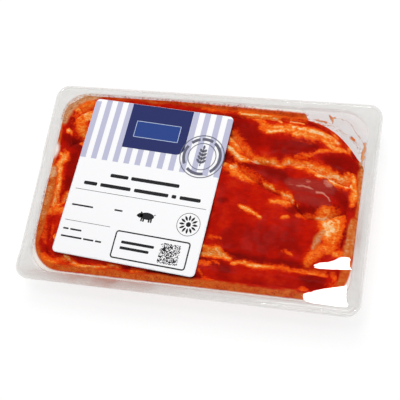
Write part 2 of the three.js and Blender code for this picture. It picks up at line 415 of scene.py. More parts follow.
under = FLANGE_TOP - SHEET
rim = FLANGE_TOP - RIM_HEIGHT
tray_rings = [
    well_ring(FLOOR_INSET, 0.0),
    *foot_rings(WELL_DRAFT - SHEET, 0.0, FOOT_RADIUS),
    well_ring(0.3 - SHEET, under - 1.2),
    well_ring(-SHEET - 0.5, under),
    flange_ring(GRIP_WIDTH + STEP_SLANT, under, False),
    flange_ring(GRIP_WIDTH, under),
    flange_ring(SHEET + RIM_BEND, under),
    flange_ring(SHEET + 0.05, under - 0.4),
    flange_ring(SHEET, rim),
    flange_ring(0.0, rim),
    flange_ring(0.05, FLANGE_TOP - RIM_BEND),
    flange_ring(0.2, FLANGE_TOP - 0.15),
    flange_ring(RIM_BEND, FLANGE_TOP),
    flange_ring(SEAL_LINE - SEAL_HALF, FLANGE_TOP),
    flange_ring(SEAL_LINE, FLANGE_TOP - SEAL_DEPTH),
    flange_ring(SEAL_LINE + SEAL_HALF, FLANGE_TOP),
    flange_ring(GRIP_WIDTH, FLANGE_TOP),
    flange_ring(GRIP_WIDTH + STEP_SLANT, FLANGE_TOP, False),
    well_ring(-WELL_LIP, FLANGE_TOP),
    well_ring(-WELL_LIP * 0.3, FLANGE_TOP - 0.2),
    well_ring(WELL_LIP * 0.2, FLANGE_TOP - WELL_LIP),
    *reversed(foot_rings(WELL_DRAFT, SHEET, FOOT_RADIUS - SHEET)),
    well_ring(FLOOR_INSET, SHEET),
]
print("tray rings", len(tray_rings))

# %% [markdown]
# ## Clear plastic
# Thin clear sheet hardly tints what is behind it. It shows by its gloss, by a faint milkiness
# where two layers are welded, and by marinade that has run down inside. So the finish lets
# light straight through and covers it only in part, more on the flange than on the wall. Juice
# has crept under the flange at the right and stains it. At the front the flange gets a painted
# pink tint instead: the meat's light seen through it in its shade.

# %% Finish of the tray
PLASTIC = paint(228, 226, 222)
# Pink of the juice stain, also painted at the front as the meat's light in the flange's shade
JUICE_AND_TINT = paint(200, 144, 128)
WELDED_UNDER = (3.2, 0.9)  # the flange is milky from here to here under its top
WALL_MILK = 0.16

tray_finish, field, place = start_finish("clear_sheet")
height = field.node("ShaderNodeSeparateXYZ", {}, {0: place}, "Z") * (1 / MM)
welded = height.rise(*(FLANGE_TOP - depth for depth in WELDED_UNDER))
cloud = place.grain(9.0, 2.0)
# A juice stain at the right, and painted pink at the front for the meat's light in the flange's shade
stain = (field.share("stain") * (0.4 + cloud * 1.2)).held()
milk = WALL_MILK + welded * (0.12 + cloud * 0.18) + stain * 0.3
sheet = surface(field, stain.mix(PLASTIC, JUICE_AND_TINT), 0.4)
close_finish(field, glossy_skin(field, see_through(field, sheet, milk), 0.08, 0.5))

tray_points, tray_faces = stack(tray_rings)
tray_shell = new_piece("tray_shell", tray_points, tray_faces, tray_finish, ["tray"])


# %% Juice under the flange at the right, and a painted tint at the front
# The front band is painted light: the meat's pink seen through the shaded flange.
FRONT_PAINTED_TINT = (1.0, -52, 40)   # strength, middle and half length along the side
RIGHT_JUICE = (0.45, -18, 16)


def juice_and_tint(along, out, strength, middle, half, begins, fades, faded=1.0):
    """A band along one side, for the juice stain and for the painted tint. It begins and fades between
    two distances out.
    """
    spread = strength * np.exp(-(((along - middle) / half) ** 2))
    return spread * smoothstep(out, *begins) * (1 - faded * smoothstep(out, *fades))


right, back = tray_points[:, 0], tray_points[:, 1]
front_painted_tint = juice_and_tint(right, -back, *FRONT_PAINTED_TINT, (62.5, 65), (65.5, 70), 0.4)
right_stain = juice_and_tint(back, right, *RIGHT_JUICE, (106, 107.5), (108.5, 112))
tell(tray_shell, stain=np.maximum(front_painted_tint, right_stain))

# %% [markdown]
# ## Where the slices lie
# Each slice is as long as the well and lies over the one behind it, like roof tiles. Seen from
# above, four lines part them. The lines are formulas with named values, the same as in the
# solids: a base line, and where it leaves it beside the label and at both ends.

# %% Lines between the slices
MEAT_HALF_TOP = 105
MEAT_HALF_FLOOR = 99.5
MEAT_TOP = 26.2
MEAT_LEAN = 17           # a slice's side leans this far over the slice behind it
MEAT_SETBACK = 5         # and the outermost sides lean in like the tray's wall
SLICE_GAP = 0.7
SLICE_ROUND = 7
SLICE_END_POWER = 9      # how square a slice's ends are
END_FLAT = 0.994         # the ends stop this share of the way to their point

# A wave has a size and a length, a cut its depth, start and power, a step its rise, start and end.
BACK_Y, BACK_WAVE = 59, (1.2, 21)
BACK_RIGHT_CUT, BACK_LEFT_CUT = (29, 58, 2.6), (13, 80, 1.6)
FRONT_Y, FRONT_WAVE = -61.5, (0.8, 17)
FRONT_RIGHT_CUT, FRONT_LEFT_CUT = (19, 84, 2), (17, 88, 2)
MIDDLE_Y, MIDDLE_WAVE = 32.5, (1.2, 8)
MIDDLE_STEPS = ((14, -110, -20), (-18, 12, 36), (-10, 66, 104))
OVERLAP_Y, OVERLAP_WAVE = -14, (0.8, 7)
OVERLAP_STEPS = ((41, -120, 8), (-22, 12, 62), (-11, 58, 76), (7, 84, 102))


def wave(x, size, length):
    return size * np.sin(x / length)


def cut(out, depth, start, power):
    """How far an edge draws in towards one end of the slice."""
    return depth * (np.maximum(out - start, 0) / (MEAT_HALF_TOP - start)) ** power


def climbed(x, steps):
    return sum(rise * smoothstep(x, low, high) for rise, low, high in steps)


def back_edge(x):
    return BACK_Y + wave(x, *BACK_WAVE) - cut(x, *BACK_RIGHT_CUT) - cut(-x, *BACK_LEFT_CUT)


def middle_edge(x):
    return MIDDLE_Y + climbed(x, MIDDLE_STEPS) + wave(x, *MIDDLE_WAVE)


def overlap_edge(x):
    return OVERLAP_Y + climbed(x, OVERLAP_STEPS) + wave(x, *OVERLAP_WAVE)


def front_edge(x):
    return FRONT_Y + wave(x, *FRONT_WAVE) + cut(x, *FRONT_RIGHT_CUT) + cut(-x, *FRONT_LEFT_CUT)


for edge in (back_edge, middle_edge, overlap_edge, front_edge):
    print(edge.__name__, "at x = 60:", round(float(edge(60.0)), 1))

# %% Height of the meat
SWELLS = ((0.7, 23, 13, 0), (0.45, 9, -8, 1))  # size, lengths along x and y, and a shift
SWELLS_BELOW = 1.1
FOLD_Y = -43.5
FOLD_BEND, FOLD_BEND_LENGTH, FOLD_BEND_SHIFT = 2.5, 26, -1
FOLD_DEPTH = 3.2
FOLD_HALF_WIDTH = 3
FOLD_GROWS = (-70, 10)
FRONT_FALL, FRONT_FALL_OUT = 5, (50, 64)
CORNER_FALL, CORNER_FALL_X, CORNER_FALL_Y = 4, (70, 104), (22, 50)


def meat_top(x, y):
    """Height of the meat under the film: soft swells, one fold, and a fall to the front."""
    swells = sum(size * np.sin(x / long + y / wide + shift) for size, long, wide, shift in SWELLS)
    fold_line = FOLD_Y + FOLD_BEND * np.cos(x / FOLD_BEND_LENGTH + FOLD_BEND_SHIFT)
    fold_shape = np.exp(-(((y - fold_line) / FOLD_HALF_WIDTH) ** 2))
    fold = FOLD_DEPTH * fold_shape * smoothstep(x, *FOLD_GROWS)
    front_fall = FRONT_FALL * smoothstep(-y, *FRONT_FALL_OUT)
    corner_fall = CORNER_FALL * smoothstep(x, *CORNER_FALL_X) * smoothstep(y, *CORNER_FALL_Y)
    return MEAT_TOP + swells - SWELLS_BELOW - fold - front_fall - corner_fall


# %% [markdown]
# ## Painting fat on meat
# Belly is layered: red muscle, white fat, rind. Wet marinade turns the fat orange and the
# muscle deep red. The layers could be left to noise alone, but a real slice has a few bold
# streaks that the eye remembers. So each point of the mesh gets a share of fat, of shade and
# of bare meat. Streaks are drawn like brush strokes through a few points, in millimetres from
# the middle of the pack. Each has a core and an oily halo, and noise bends its edges. The
# finish later adds the fine grain.
#
# The strokes stand in tables, one to a line: strength, width, and then the x and y of each point
# of the route. A line that starts with `oval` is a patch: strength, its place, its half sizes,
# and perhaps a turn in degrees.

# %% A coat of paint over many points
HALO = 2.2               # the oil round a streak of fat reaches this far
GLOW = 4.5               # and reddish orange beyond it reaches this far
GLOW_SHARE = 0.3
BLUNT = 0.45             # a stroke's width at its ends, as a share of its full width
OVAL_FADES = (0.5, 1.3)  # an oval fades between these shares of its half sizes
PAINT_SHIFT = (0.6, -0.8)  # the routes were read on the film, and the meat lies 2 mm deeper


class Coat:
    """Shares from 0 to 1 at many places, painted by strokes and patches."""

    def __init__(self, places, wander, seed):
        wide = np.transpose([noise(places, 7, seed + k) for k in (0, 1)])
        narrow = np.transpose([noise(places, 2.3, seed + 5 + k) for k in (0, 1)])
        self.places = places + PAINT_SHIFT + wander * (wide + 0.5 * narrow)
        self.shares = np.zeros(len(places))

    def follow(self, table):
        """Paints every stroke and oval of a table."""
        for line in filter(None, table.splitlines()):
            numbers = [float(word) for word in line.split() if word != "oval"]
            if line.startswith("oval"):
                self.patch(*numbers)
            else:
                self.stroke(*numbers[:2], np.reshape(numbers[2:], (-1, 2)))

    def stroke(self, strength, width, route):
        """A soft stroke of about that width along a route, tapering to both ends."""
        route = smooth_route(route)
        lengths = np.append(0, np.cumsum(np.hypot(*np.diff(route, axis=0).T)))
        margin = width / 2 + GLOW
        low, high = route.min(0) - margin, route.max(0) + margin
        near = np.all((self.places > low) & (self.places < high), axis=1)
        places = self.places[near]
        best = np.zeros(len(places))
        for k in range(len(route) - 1):
            step = route[k + 1] - route[k]
            share = np.clip((places - route[k]) @ step / (step @ step), 0, 1)
            away = np.hypot(*(places - route[k] - share[:, None] * step).T)
            along = (lengths[k] + share * (lengths[k + 1] - lengths[k])) / lengths[-1]
            taper = np.sin(math.pi * np.clip(along, 0.02, 0.98)) ** 0.5
            half = width / 2 * (BLUNT + (1 - BLUNT) * taper)
            core = 1 - smoothstep(away, half * 0.3, half + min(HALO, 0.3 + width * 0.45))
            glow = GLOW_SHARE * min(width / 3, 1) * (1 - smoothstep(away, half, half + GLOW))
            best = np.maximum(best, np.maximum(core, glow))
        self.shares[near] = np.maximum(self.shares[near], strength * best)

    def patch(self, strength, x, y, half_x, half_y, turn=0):
        """A soft oval, its half sizes in mm, turned by degrees."""
        across, along = (turned(self.places - (x, y), math.radians(-turn)) / (half_x, half_y)).T
        cover = 1 - smoothstep(np.hypot(across, along), *OVAL_FADES)
        self.shares = np.maximum(self.shares, strength * cover)


def smooth_route(route, steps=5):
    """A route through the same points, rounded between them."""
    if len(route) < 3:
        return route
    padded = np.vstack([2 * route[0] - route[1], route, 2 * route[-1] - route[-2]])
    shares = np.arange(steps)[:, None] / steps
    pieces = []
    for before, here, after, beyond in zip(padded, padded[1:], padded[2:], padded[3:]):
        bend = 2 * before - 5 * here + 4 * after - beyond
        twist = 3 * here - before - 3 * after + beyond
        pieces.append(here + 0.5 * shares * (after - before + shares * (bend + shares * twist)))
    return np.vstack([*pieces, route[-1:]])


# %% Fat of the back slice. Its last four lines are painted glints: pale streaks along the back edge, where air lies under the film
BACK_FAT_AND_GLINTS = """
0.74 3.4  27 58  33 56  37 53.5  41 51
0.76 9  37 51  46 50  54 50  61 49  68 47.5  76 46.5  84 44
1 2.2  41 51.3  46 51.2  51 50.3
1.06 2.4  41 47.6  46 47.4  52 46.6
0.95 2.6  56 52.6  59 51  62 51.3
0.9 3.2  59 46.4  64 46  71 46
1.1 3.2  62 49  68 49.8  74 49.5  80 47.6  87.5 44
0.9 3.2  79 43  84 40.6  89 38.8  97 38
0.6 2.2  61 31  68 32.5  75 34.3  82 36.5  92 37.5
0.56 6.5  -5 62  30 61  50 60  66 58.5
1.1 1.5  20 59.5  25.75 59.1  31.5 58.6
1.1 1.5  33 58  38.5 57.6  44 57.1
1.1 1.5  46.5 56.8  48.25 56.4  50 55.9
1.1 1.5  56 55.8  60.5 55.4  65 54.9
"""

# %% Fat of the middle slice: the ridge that runs across the pack
MIDDLE_FAT = """
0.72 8.5  14 45  19 40  23 35  31 30.5
0.95 3.2  15 42.5  19 39.5  22 36
1.05 3  13 35.5  18 33.5  22 29.5  26 26.2  31 26  38 25.8
0.78 5.6  35 27  41 27  47 26.5  51 24.5  54 24.8  57 27.2  64 27
1 2.6  42 26.2  45 26.8  48.5 26
1 2.6  52.5 23.3  54.5 25.3  57.5 27
0.84 7.4  59 26.5  68 26.3  76 23.8  84 21  92 18.2  100 17
1 3  63 24.6  69 25.6  76 23
1.1 3  78 19.5  84 18.2  88 16.2  91.5 14  96 13.2  101 11.5
0.95 4.4  83 21.8  90 19.4  97 17
0.84 4.8  101 19  102.5 11  103 5  103 0.5
0.9 1.5  93 20  98 21  101.4 19.4  102.6 15
"""

# %% Fat of the front slice
FRONT_FAT = """
0.66 10  12 23  20 19.5  28 15  37 12.5
0.32 4  26 21  33 16.5  40 14  46 10
oval 1.06  21.5 20.5  3.6 3.8
oval 0.9  15.5 22  2.5 3
oval 0.96  29.5 12.2  2.8 2.1
1 2.2  44.5 10  46.5 8.4  51 6.6
0.5 1.8  50 6.8  54 5  57.5 3
0.95 2.4  56.5 4.2  59 2.2  61 0.4
0.95 2.6  60 4.4  63 1.8  65 -0.8
0.86 3.4  50.5 -1.4  55 -1.6  59 -2.6  63 -3
0.9 2.6  30.5 -7  35 -8.8  39 -10  45.5 -13.6
oval 0.96  60.6 -12.2  3.2 1.5
oval 0.76  67.4 -2.6  1 1.3
0.5 2.6  69 -10.6  75 -10  82 -9
0.5 2.4  63.5 -35  69.5 -36.6
0.46 2  14 -30.5  20 -31.2
"""

# %% The broad fat at the front slice's right end
RIGHT_FAT = """
oval 0.72  90 -7.5  10.5 6.5  -15
oval 0.8  91 -16  9.5 14  5
oval 1.1  85.5 -9.6  6.5 3  5
oval 1.05  89.5 -17  6 9.8  6
0.9 2.8  95.6 -11  95.4 -18  93.5 -26
0.62 3.5  97.5 -5  98.5 -14  97 -24
0.66 10  79 -40  83 -35.5  88 -31.5  93 -30
0.75 3  95 -33  101 -32.4
0.55 3.6  95 -45.6  97 -48.5  96.4 -53  92 -57
"""

# %% Streaks along the fold and the front edge
LOW_FAT = """
0.98 3.6  8 -41.4  15 -41.2  22 -41  28.5 -42.2
0.74 3.4  10 -37.4  16 -38  23 -39
0.62 3  9 -48.2  17 -48
0.5 1.8  19.5 -46.5  22.5 -48.2
0.86 2.2  31 -46  37.5 -44.8
0.95 3.4  38 -44.2  45 -45.2  52 -45.6  58 -46
0.52 4.4  54 -45.8  66 -46  74 -46  84 -45.6  91 -45.6
0.72 2  75 -44.6  83 -46.4  90 -46
oval 0.6  78 -57.5  3.6 1.8
0.5 2.4  11 -53  17 -57.5  22 -59
0.66 6.5  -98 -55.5  -90 -57.5  -82 -57
oval 0.84  -88 -57  2.8 2.4
1 2.6  -82 -54  -77 -57.3  -70 -59  -62 -58.6  -54 -57.6  -44 -57
0.74 3.4  -34 -58.4  -27 -57.4
"""

# %% Fat at the left end, and two streaks under the label
LEFT_FAT = """
oval 0.64  -89 57  8 7  20
oval 0.86  -88.5 49  6 5
0.88 4  -97 53  -93 50.5  -88 46
0.76 10  -95 47  -91 40  -87 32
oval 0.9  -99.5 37.5  2.2 2.2
oval 1.05  -102 18.8  1.7 1.5
0.88 5  -99 20  -98.5 14  -101 9
0.92 2.8  -98.8 10  -98.3 0  -98 -10  -99 -20
0.94 5.6  -95.5 -17.5  -92 -13  -88 -8
0.7 5.2  -103 -25  -97 -22.5  -89 -22
oval 0.84  -92.3 -41  2 2.2
0.34 3  -102 -29  -101 -37  -99 -46
0.3 2.4  -97 -30  -95.5 -37  -95 -44
0.7 1.8  -89.5 27.6  -85 26.6
0.55 5  -60 20  -30 34  0 40
0.6 4  -70 -20  -40 -6  -5 8
"""

# %% Shade: where the marinade lies thick and dark, and painted shade along the fold and where one slice meets the next
SHADE_MARKS = """
0.75 15  19 53  28 46  38 39
0.85 12  43 40  60 37  73 38.5
0.95 14  83 31  93 28  102 25
0.9 7  27 22.8  37 21.8  47 18.2  57 15
0.8 6  14 31  20 27
0.75 9  89 9  96 5  103 -3
0.8 5  62 -6.5  78 -6  92 -2
oval 0.9  18.5 -4.6  5 2.2  -10
oval 0.5  45 -28  33 12
0.9 4.5  25 -39  44 -42  62 -42.6  78 -43
0.9 8  12 -44.5  21 -46.5  28 -51
0.85 8  78 -50  85 -51.5  90 -51
0.8 2.5  99.8 -6  100.3 -16  99 -27
oval 0.55  -99 43  3.2 5.2  -8
0.9 10  -101 32  -95 29  -88 22
1 10  -92 19  -91 8  -89 -5
0.3 11  -98 -31  -98 -42  -95 -51
0.4 8  -60 8  -20 20  5 24
"""

# %% Meat that the marinade left bare. Marks stronger than 1 are painted glints of wet meat
BARE_AND_GLINT_MARKS = """
1 15  61 12.5  72 11  82 10  88 9
0.8 9  66 4  76 2  87 0
oval 1.5  86 14  5 3.2  -20
oval 1.4  72 14  2.4 2.2
oval 1.3  73 10.4  2 1.2
1.7 1.3  66 11  70 10.3  75 9.2
1.8 1.4  78 7.6  83 6.2  86 4.4  87.5 2.2
0.5 9  40 17  50 15  60 13
oval 0.36  57 -24  8 7
oval 0.3  72 -20  5 5
oval 0.22  36 -31  14 7
"""

# %% Oil at the rim, where it is pale, and what clings to the film
BACK_RIM = "-86 64.6  -60 64.3  -20 63.8  15 63  40 62  66 60.5"
FRONT_RIM = "-92 -62  -60 -62.5  -20 -62.5  20 -62.5  60 -62.5  84 -62"
BACK_LEFT_RIM = "-105.5 44  -104 53  -100 60  -92 64  -85 65"
OIL_MARKS = f"""
1 11  {BACK_LEFT_RIM}
0.75 5  {BACK_RIM}
1 4.8  {FRONT_RIM}
0.8 2.4  -106 44  -105.5 30  -104.5 20  -106 10
1 6  -104 8  -104 -20  -105 -44
1 5.5  -106.5 -36  -104.5 -49  -98 -60  -86 -63
0.85 3.2  98.5 43  103 35  106 26  106.4 10  106.4 -6
0.95 5.4  105 -10  103.8 -20  103.8 -44  100 -57  88 -62
0.62 5.5  86.5 -20  84 -25  81.5 -31
0.8 2.8  70 57.4  80 55  90 49.8  98 43.4  103 37
"""
PALE_MARKS = f"""
1 14  {BACK_LEFT_RIM}
oval 1  -103.8 4.5  3.4 4.4
0.5 5  -105 -8  -105 -28
0.5 3.6  102 -12  103 -24  102.8 -34
0.5 2.5  106.5 30  107 0  107 -44
0.7 5.5  86.5 -20  84 -25  81.5 -31
0.9 5  66 57  84 58  95 55  104 43  106 30
0.6 3  68 56  80 54  90 48.5  99 41
"""
SMEAR_MARKS = f"""
0.42 9  {BACK_LEFT_RIM}
0.4 4  {BACK_RIM}
0.36 4  {FRONT_RIM}
0.36 6  -105 -2  -105 -20  -105 -50
0.62 0.9  66 57.6  74 56.8  83 56.2
0.5 0.8  70 54.8  77 54.4  83 53.6  84.4 56
0.36 4.5  70 57  80 55  90 50  98 44  104 35
0.74 0.9  84.6 56.6  82.8 58.6  80.8 60.6
0.7 0.8  83 58.4  84.6 60
0.5 0.8  84 59  90 58.4  95 55.8  100 50.4  104 43.6  106 38
0.72 1.5  105.6 43  106 36  105.4 27
oval 1  98 45  0.9 1.7  15
oval 0.9  106.3 32.5  1.2 1.5
"""

# %% The coats
FAT_AND_GLINT_MARKS = BACK_FAT_AND_GLINTS + MIDDLE_FAT + FRONT_FAT + RIGHT_FAT + LOW_FAT + LEFT_FAT
COATS = {                # the marks, how far noise bends their edges in mm, and its seed
    "fat": (FAT_AND_GLINT_MARKS, 1.2, 11),
    "shade": (SHADE_MARKS, 1.0, 31),
    "bare": (BARE_AND_GLINT_MARKS, 1.2, 51),
    "oil": (OIL_MARKS, 1.1, 71),
    "pale": (PALE_MARKS, 1.3, 81),
    "smear": (SMEAR_MARKS, 1.0, 91),
}


def painted(name, places):
    """Shares of one coat at each place."""
    marks, wander, seed = COATS[name]
    coat = Coat(places, wander, seed)
    coat.follow(marks)
    return coat.shares


OIL_TONE, REDDER_BACK, PALER = 0.06, 0.1, 0.5
BACK_UP, BACK_RIGHTWARDS = (54, 60), (-90, -80)


def oil_tone_at(places):
    """Added to a middle tone: below 0 is pale beige, above is red."""
    x, y = places.T
    at_back = smoothstep(y, *BACK_UP) * smoothstep(x, *BACK_RIGHTWARDS)
    return OIL_TONE + REDDER_BACK * at_back - PALER * painted("pale", places)


for name, (marks, _, _) in COATS.items():
    print(name, sum(map(bool, marks.splitlines())), "marks")

# %% [markdown]
# ## The slices
# A slice is a long cushion of meat, pressed flat by the film above and squared by the tray.
# It is a stack of rounded sections from one short side of the tray to the other. Fat stands a
# little proud of muscle, so the painted fat also lifts the surface.


# %% Sections of a slice
MOST_ROUND = 0.4         # a corner's rounding is at most this share of the section's width


def section_shares(across_round, up_round, top_steps=70, side_steps=18, round_steps=8):
    """A rounded square as shares from -0.5 to 0.5, begun at the back of its top."""
    corners = [(1, 1), (-1, 1), (-1, -1), (1, -1)]
    rounds = []
    for corner, (side_a, side_u) in enumerate(corners):
        angles = (corner + np.arange(round_steps + 1) / round_steps) * math.pi / 2
        across = side_a * (0.5 - across_round) + across_round * np.cos(angles)
        up = side_u * (0.5 - up_round) + up_round * np.sin(angles)
        rounds.append(np.column_stack([across, up]))
    return joined(rounds, (top_steps, side_steps, top_steps // 2, side_steps))


def slice_rings(front, back, lean_front, lean_back, stations=290):
    """Rings of a slice in mm, and how high each point lies, from 0 at the floor to 1."""
    floor = SHEET + SLICE_GAP
    rings, heights = [], []
    for along in np.sin((np.arange(stations + 1) / stations - 0.5) * math.pi * END_FLAT):
        closing = (1 - abs(along) ** SLICE_END_POWER) ** (1 / SLICE_END_POWER)
        line_x = along * MEAT_HALF_TOP
        across_round = min(SLICE_ROUND / (back(line_x) - front(line_x)), MOST_ROUND)
        section = section_shares(across_round, SLICE_ROUND / (MEAT_TOP - floor))
        across, up = 0.5 + closing * section.T
        x = along * (MEAT_HALF_FLOOR + (MEAT_HALF_TOP - MEAT_HALF_FLOOR) * up)
        front_y = front(line_x) + SLICE_GAP / 2 + lean_front * (1 - up)
        back_y = back(line_x) - SLICE_GAP / 2 + lean_back * (1 - up)
        y = front_y + (back_y - front_y) * across
        rings.append(np.column_stack([x, y, floor + (meat_top(x, y) - floor) * up]))
        heights.append(up)
    return rings, np.concatenate(heights)


# %% Finish of the meat
MARINADE_DEEP = paint(140, 7, 0)
MARINADE_DARK = paint(165, 11, 0)
MARINADE = paint(196, 19, 0)
MARINADE_WARM = paint(222, 48, 3)
MEAT_BARE = paint(150, 38, 32)
OIL_PALE = paint(226, 178, 134)
OIL = paint(218, 118, 46)
OIL_DEEP = paint(206, 66, 10)
STIPPLE = paint(200, 108, 44)
PAINTED_SEE_THROUGH_PALE = paint(250, 243, 236)
SPICE = paint(122, 22, 6)
FIBRE_TURN = (0, 0, 0.25)
FIBRE_STRETCH = (0.28, 1.3, 1.0)


def muscle_and_fat(field, lumps, fine, clouds):
    """The colour of the marinated belly before any oil lies on it."""
    tone = 0.62 + clouds.swing(0.9) + lumps.swing(0.5) - field.share("shade") * 0.5
    muscle = tone.ramp(
        (0.05, MARINADE_DEEP), (0.34, MARINADE_DARK), (0.62, MARINADE), (0.95, MARINADE_WARM),
    )
    mottle = lumps.swing(1.35) + fine.swing(1.1)
    # The fat share also carries the painted glints of the back edge, which reach the palest stop.
    fat = field.share("fat") * 0.86 + mottle * (0.28 + field.share("fat") * 0.72)
    fat_colour = fat.ramp(
        (0.12, MARINADE_WARM), (0.3, paint(232, 62, 6)), (0.5, paint(246, 94, 12)),
        (0.68, paint(253, 132, 36)), (0.84, paint(255, 172, 84)), (1.0, paint(255, 216, 164)),
    )
    return fat.rise(0.08, 0.36).mix(muscle, fat_colour), fat


def wet_meat(name, cleared=False):
    """The finish of meat and marinade. A cleared one is painted pale at its clear share, where the
    clean tray shows the bright table through it.
    """
    finish, field, place = start_finish(name)
    lumps = place.stretched(0.6, 1.2, 1.0).grain(3.2, 4.0, 0.66, 0.3)
    fine = place.stretched(0.7, 1.1, 1.0).grain(1.1, 3.0, 0.6)
    colour, fat = muscle_and_fat(field, lumps, fine, place.grain(12, 2.0))
    laid = {"Vector": place, "Rotation": FIBRE_TURN, "Scale": FIBRE_STRETCH}
    along = field.node("ShaderNodeMapping", {}, laid)
    # Lighter fibres and bare marks above 1 turn bare meat pink: painted glints of wet meat.
    fibre = along.grain(2.2, 3.0, 0.6, 0.5)
    fibre_glint_tone = fibre * 0.7 + field.share("bare") * 0.6 - 0.5
    bare_and_glint_colour = fibre_glint_tone.ramp((0.2, MEAT_BARE), (0.5, paint(166, 52, 44)), (0.95, paint(226, 148, 126)))
    bare = (field.share("bare") + lumps.swing(0.5)).rise(0.3, 1.0) * (1 - fat.rise(0.3, 0.5))
    colour = (bare * 0.85).mix(colour, bare_and_glint_colour)
    tone = field.share("tone")
    oil_tone = 0.5 + tone + lumps.swing(1.0) + fine.swing(0.7 - tone * 2.2)
    oil_colour = oil_tone.ramp((0.0, OIL_PALE), (0.36, OIL), (0.7, OIL_DEEP), (1.0, MARINADE))
    oiled = (field.share("oil") + lumps.swing(0.6) + fine.swing(0.3)).rise(0.16, 0.76)
    colour = oiled.mix(colour, oil_colour)
    stippled = place.grain(0.9, 1.0).rise(0.5, 0.64) * oiled * ((0.1 - tone) * 2.0).held()
    colour = (stippled * 0.8).mix(colour, STIPPLE)
    colour = (place.grain(0.6, 1.0).rise(0.69, 0.75) * 0.7).mix(colour, SPICE)
    if cleared:
        clean = (field.share("clear") + lumps.swing(0.4) + fine.swing(0.2)).rise(0.15, 0.85)
        # Painted light where the tray is clean: pale for the lit table seen through clear plastic.
        colour = clean.mix(colour, PAINTED_SEE_THROUGH_PALE)
    relief = bump(field, 0.35, 0.6 * MM, lumps * 0.6 + fine * 0.4)
    close_finish(field, surface(field, colour, 0.26 + lumps.swing(0.2), 0.02, relief))
    return finish


belly_finish = wet_meat("marinated_belly")
bed_finish = wet_meat("marinade", cleared=True)


# %% Shares of fat, shade, bare meat and oil at each point
LAYER = (60, 30, 3.2)    # length, width and thickness of a layer of fat or muscle, seen at a side
SIDE_TONE = 0.2


def dress(piece, points, top, seed):
    """Paints a piece seen from above where top is 1, and with layers of belly where it is 0."""
    places = points[:, :2]
    layer = points / LAYER
    side_fat = noise(layer, 1.0, seed) + 0.35 * noise(points, 4, seed + 1)
    side_fat = 0.9 * smoothstep(side_fat, 0.05, 0.75)
    side_shade = 0.5 * smoothstep(noise(layer, 1.0, seed + 2), 0, 0.8)
    side_oil = 0.35 * smoothstep(noise(points, 8, seed + 5), 0.1, 0.8)
    shares = {
        "fat": painted("fat", places) * top + side_fat * (1 - top),
        "shade": painted("shade", places) * top + side_shade * (1 - top),
        "bare": painted("bare", places) * top,
        "oil": painted("oil", places) * top + side_oil * (1 - top),
        "tone": oil_tone_at(places) * top + SIDE_TONE * (1 - top),
    }
    tell(piece, **shares)
    return shares


# %% Build the three slices
FAT_PROUD = 0.55         # fat stands this much prouder than muscle
SHRUNK = 0.25            # and all of the top lies this much lower, to stay under the film


def belly_slice(node, front, back, lean_front, lean_back, seed):
    rings, heights = slice_rings(front, back, lean_front, lean_back)
    points, faces = stack(rings)
    heights = np.append(heights, [0.5, 0.5])
    piece = new_piece(node + "_meat", points, faces, belly_finish, [node])
    shares = dress(piece, points, smoothstep(heights, 0.35, 0.65), seed)
    lumps = 0.35 * noise(points, 9, seed + 3) + 0.22 * noise(points, 3.5, seed + 4)
    lifted = lumps + FAT_PROUD * shares["fat"] - SHRUNK
    points[:, 2] += lifted * np.clip(heights * 1.6 - 0.3, 0, 1)
    piece.data.vertices.foreach_set("co", (points * MM).ravel())
    piece.data.update()


belly_slice("slice_back", middle_edge, back_edge, -MEAT_LEAN, -MEAT_SETBACK, 101)
belly_slice("slice_middle", overlap_edge, middle_edge, -MEAT_LEAN, -MEAT_LEAN, 201)
belly_slice("slice_front", front_edge, overlap_edge, MEAT_SETBACK, -MEAT_LEAN, 301)

# %% [markdown]
# ## Marinade that left the meat
# Oil, paprika and meat juice gather in the well, climb between meat and wall nearly to the
# film, and cling to its inside. Real marinade is a liquid with grains in it. Two pieces stand
# for it: a bed that fills the space round the slices and reaches just into the tray's wall, and
# smears on the film. The smears are one thin sheet whose finish is clear where the film is clean.

# %% Outline of the bed
INTO_WALL = 0.1
BED_TOP = 25.3
BED_SUNK = 6             # the bed lies this high under the slices
BED_FINE = 3
BED_LEVELS = 13
EMPTY_FROM = (61, 67)    # the well is empty to the right of this, behind the back slice
SIDE_COAT = 1.6          # marinade clinging to the side of that slice
SIDE_FALL = 5.5          # and how far it lies lower at its edge
HUB = np.array([70, 20])  # rings are drawn back towards this place inside the back slice
HALVINGS = 14
DRAWN_TOGETHER = 0.5     # drawn rings lie closer together, by this share of their insets
POOL = 8                 # oil lies this much wider behind the slice where the well isn't empty
BED_INSETS = (0.9, 1.4, 2, 2.7, 3.4, 4.4, 5.4, 6.4, 7.9, 10, 12, 16, 22, 30)
BED_EDGE = 9             # rings inset further than this lie under the slices


def wall_ring(heights):
    """A ring just inside the tray's wall whose points lie at different heights."""
    edge, one_in = well_ring(0, 0, BED_FINE), well_ring(1, 0, BED_FINE)
    inset = WELL_DRAFT * (FLANGE_TOP - heights) / (FLANGE_TOP - FOOT_RADIUS) - INTO_WALL
    ring = edge + (one_in - edge) * inset[:, None]
    ring[:, 2] = heights
    return ring


def beyond_slice(places, heights, inset):
    """Whether each place lies in the empty corner, behind the back slice."""
    x, y = places.T
    lean = MEAT_SETBACK * (1 - heights / FLANGE_TOP)
    pool = POOL * (1 - smoothstep(x, *EMPTY_FROM))
    return y > back_edge(x) + SIDE_COAT + pool - lean - inset * DRAWN_TOGETHER


